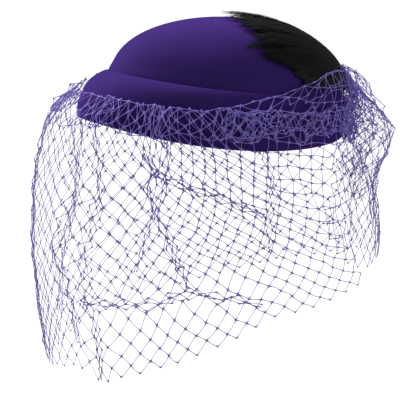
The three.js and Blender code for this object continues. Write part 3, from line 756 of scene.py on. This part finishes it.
# The chart's place back on the crown, raised off the felt
def crownAt(place, raised):
    out = np.minimum(np.hypot(place[..., 0], place[..., 1]), 84)
    point = domePoint(np.arctan2(place[..., 0], -place[..., 1]), np.radians(90 - out))
    direction = point - np.array((0, hatShape["crownBack"], 11.5))
    direction /= np.linalg.norm(direction, axis=-1)[..., None]
    return point + direction * np.asarray(raised)[..., None]


# Feathers from root to tip: turn and rise of both ends in degrees, width and lift in millimetres
featherRows = np.array([
    (140, 3, 112, 7, 24, 0.3), (144, 4, 106, 17, 26, 0.5), (150, 5, 100, 25, 28, 0.7), (154, 6, 92, 27, 28, 0.9),
    (159, 8, 83, 37, 30, 1), (162, 10, 87, 49, 28, 1.1), (166, 10, 78, 58, 28, 1.3), (170, 10, 61, 73, 28, 1.2),
    (176, 10, 20, 82, 26, 1.2), (186, 9, 262, 80, 28, 1.0), (194, 8, 248, 62, 28, 1.2), (200, 6, 240, 45, 26, 1),
])
padMake = {
    "copies": 14, "barbs": 58, "clear": 1.0, "perDegree": 1.45, "barbWidth": 1.2, "quillWidth": 0.9, "layer": 0.18,
    "rootScatter": (3, 2), "tipScatter": 1.0, "drawnBack": 0.4, "bend": 0.04, "sweep": (56, 24), "sweepScatter": 3,
    "backTurn": 152, "backRise": 26, "backHalfTurn": 40, "backHalfRise": 22, "backThickness": 1.6,
}


def makeFeathers():
    rng = np.random.default_rng(70)
    points, quads = [], []
    total = 0

    def addStrip(leftSide, rightSide):  # ribbons of shape (count, stations, 3)
        nonlocal total
        count, stations = leftSide.shape[:2]
        points.append(np.stack([leftSide, rightSide], 2).reshape(-1, 3))
        first = total + (np.arange(count)[:, None] * stations + np.arange(stations - 1)[None]) * 2
        quads.append(np.stack([first, first + 1, first + 3, first + 2], -1).reshape(-1, 4))
        total += count * stations * 2

    for copy in range(padMake["copies"]):
        for number in range(len(featherRows)):
            # each copy lies somewhere between two rows, so that the tips fill the edge
            shift = rng.uniform(0, 1) if copy and number < len(featherRows) - 1 else 0
            tipNear = chartPlace(*featherRows[number, 2:4])
            tipFar = chartPlace(*featherRows[min(number + 1, len(featherRows) - 1), 2:4])
            rootTurn, rootRise, _, _, width, lift = featherRows[number]
            turnScatter, riseScatter = padMake["rootScatter"]
            root = chartPlace(rootTurn + rng.normal(0, turnScatter), rootRise + rng.normal(0, riseScatter))
            tip = tipNear + (tipFar - tipNear) * shift
            back = rng.uniform(0, 1) ** 1.6 * padMake["drawnBack"] if copy else 0
            tip = tip + (root - tip) * back + rng.normal(0, padMake["tipScatter"], 2)
            axis = tip - root
            long = np.linalg.norm(axis)
            axis /= long
            side = np.array((-axis[1], axis[0]))
            bend = rng.normal(0, padMake["bend"]) * long
            level = padMake["clear"] + 0.9 + lift * 0.5 + copy * padMake["layer"]

            def spine(t):
                flat = root + axis * (t * long)[..., None] + side * (bend * np.sin(math.pi * t))[..., None]
                return flat, level + lift * 0.5 * t ** 2

            t = np.linspace(0, 1, 12)
            flat, raised = spine(t)
            quill = (0.5 * padMake["quillWidth"] * (1 - 0.8 * t) / padMake["perDegree"])[:, None] * side
            addStrip(crownAt(flat + quill, raised + 0.3)[None], crownAt(flat - quill, raised + 0.3)[None])
            for hand in (1, -1):
                t = np.linspace(0.04, 0.985, padMake["barbs"]) + rng.normal(0, 0.004, padMake["barbs"])
                t = np.clip(t, 0, 1)
                reach = 0.5 * width / padMake["perDegree"] * (0.5 + 0.5 * np.sin(math.pi * t ** 0.8))
                reach *= np.minimum(1, 6 * (1.04 - t)) ** 0.6
                reach *= rng.uniform(0.86, 1.1, len(t))
                atRoot, lostAtTip = padMake["sweep"]
                sweep = np.radians(atRoot - lostAtTip * t + rng.normal(0, padMake["sweepScatter"], len(t)))
                flat, raised = spine(t)
                out = np.stack([0 * t, 0.5 + 0 * t, 1 + 0 * t], 1)
                ahead = reach[:, None] * (out * np.cos(sweep)[:, None] + 0.25 * out ** 2)
                across = hand * reach[:, None] * out * np.sin(sweep)[:, None]
                line = flat[:, None] + ahead[..., None] * axis + across[..., None] * side
                droop = raised[:, None] - 0.5 * out ** 2 + rng.uniform(-0.2, 0.1, (len(t), 1)) * out
                taper = padMake["barbWidth"] * (1 - 0.85 * out ** 1.5) * 0.5 / padMake["perDegree"]
                forward = (taper * np.sin(sweep)[:, None])[..., None] * axis
                forward = forward - (hand * taper * np.cos(sweep)[:, None])[..., None] * side
                addStrip(crownAt(line + forward, droop), crownAt(line - forward, droop))

    feathers = joinedMesh("featherPad", toMetres(np.concatenate(points)), np.concatenate(quads))
    finishPiece(feathers, "feathers", blackFeather, "feather_pad")


def makeFeatherBacking():
    activate(None)
    bpy.ops.mesh.primitive_grid_add(x_subdivisions=24, y_subdivisions=24, size=2, location=(0, 0, 0))
    backing = bpy.context.object
    backing.name = backing.data.name = "featherBacking"
    rough = np.array([vertex.co[:] for vertex in backing.data.vertices])
    # the square grid is rounded into a disc, then laid over the crown
    u, v = rough[:, 0], rough[:, 1]
    disc = np.stack([u * np.sqrt(1 - v ** 2 / 2), v * np.sqrt(1 - u ** 2 / 2)], 1)
    middle = chartPlace(padMake["backTurn"], padMake["backRise"])
    place = middle + disc * (padMake["backHalfTurn"], padMake["backHalfRise"])
    points = crownAt(place, np.full(len(place), padMake["clear"] + padMake["backThickness"]))
    backing.data.vertices.foreach_set("co", toMetres(points).astype(np.float32).ravel())
    backing.data.update()
    applyModifier(backing, "SOLIDIFY", thickness=padMake["backThickness"] * 0.001, offset=-1)
    bpy.ops.object.shade_smooth()
    finishPiece(backing, "feathers", blackFeather)


makeFeathers()
makeFeatherBacking()


stageLook = {
    "floorHeight": -0.42, "floorSize": 30, "floorColour": (0.9, 0.9, 0.89, 1), "floorGlow": 0.22,
    "world": (0.92, 0.95, 1.0, 1), "worldStrength": 0.17, "key": 3.8, "keyFrom": (-0.8, -0.5, 1), "keySoftness": 42,
    "fill": 3.0, "fillFrom": (1.15, -0.55, -0.7), "fillSize": 1.4,
    "side": 5.0, "sideFrom": (1.1, 0.7, 0.15), "sideSize": 1.2,
}
cameraPlace = {"azimuth": 70, "elevation": 9, "distance": 1.4, "target": (0, -0.009, -0.061), "lens": 161.5}


def addLight(name, kind, place, energy):
    data = bpy.data.lights.new(name, kind)
    data.energy = energy
    light = bpy.data.objects.new(name, data)
    light.location = place
    light.rotation_euler = (-Vector(place)).to_track_quat("-Z", "Y").to_euler()
    bpy.context.collection.objects.link(light)
    return data


def makeStage():
    activate(None)
    bpy.ops.mesh.primitive_plane_add(size=stageLook["floorSize"], location=(0, 0, 0))
    floor = bpy.context.object
    floor.name = floor.data.name = "paleFloor"
    floor.data.transform(Matrix.Translation((0, 0, stageLook["floorHeight"])))
    material, sockets, place = newMaterial("palePaper", {
        "Roughness": 0.9, "Specular IOR Level": 0.1, "Emission Color": (1, 1, 1, 1),
        "Emission Strength": stageLook["floorGlow"]})
    place.noise(0.4, 2.0).blend((0.86, 0.86, 0.86, 1), stageLook["floorColour"]).into(sockets["Base Color"])
    floor.data.materials.append(material)
    floor.visible_diffuse = False
    world = bpy.context.scene.world or bpy.data.worlds.new("studio")
    bpy.context.scene.world = world
    world.use_nodes = True
    background = world.node_tree.nodes["Background"]
    background.inputs["Color"].default_value = stageLook["world"]
    background.inputs["Strength"].default_value = stageLook["worldStrength"]
    key = addLight("keyLight", "SUN", stageLook["keyFrom"], stageLook["key"])
    key.angle = math.radians(stageLook["keySoftness"])
    fill = addLight("fillLight", "AREA", stageLook["fillFrom"], stageLook["fill"])
    fill.size = stageLook["fillSize"]
    side = addLight("sideLight", "AREA", stageLook["sideFrom"], stageLook["side"])
    side.size = stageLook["sideSize"]
    azimuth, elevation = math.radians(cameraPlace["azimuth"]), math.radians(cameraPlace["elevation"])
    toCamera = Vector((math.sin(azimuth) * math.cos(elevation), -math.cos(azimuth) * math.cos(elevation),
                       math.sin(elevation)))
    camera = bpy.data.objects.new("camera", bpy.data.cameras.new("camera"))
    camera.data.lens = cameraPlace["lens"]
    camera.location = Vector(cameraPlace["target"]) + cameraPlace["distance"] * toCamera
    camera.rotation_euler = (-toCamera).to_track_quat("-Z", "Y").to_euler()
    bpy.context.collection.objects.link(camera)
    bpy.context.scene.camera = camera
    bpy.context.scene.view_settings.view_transform = "Standard"


makeStage()
print("stage made")
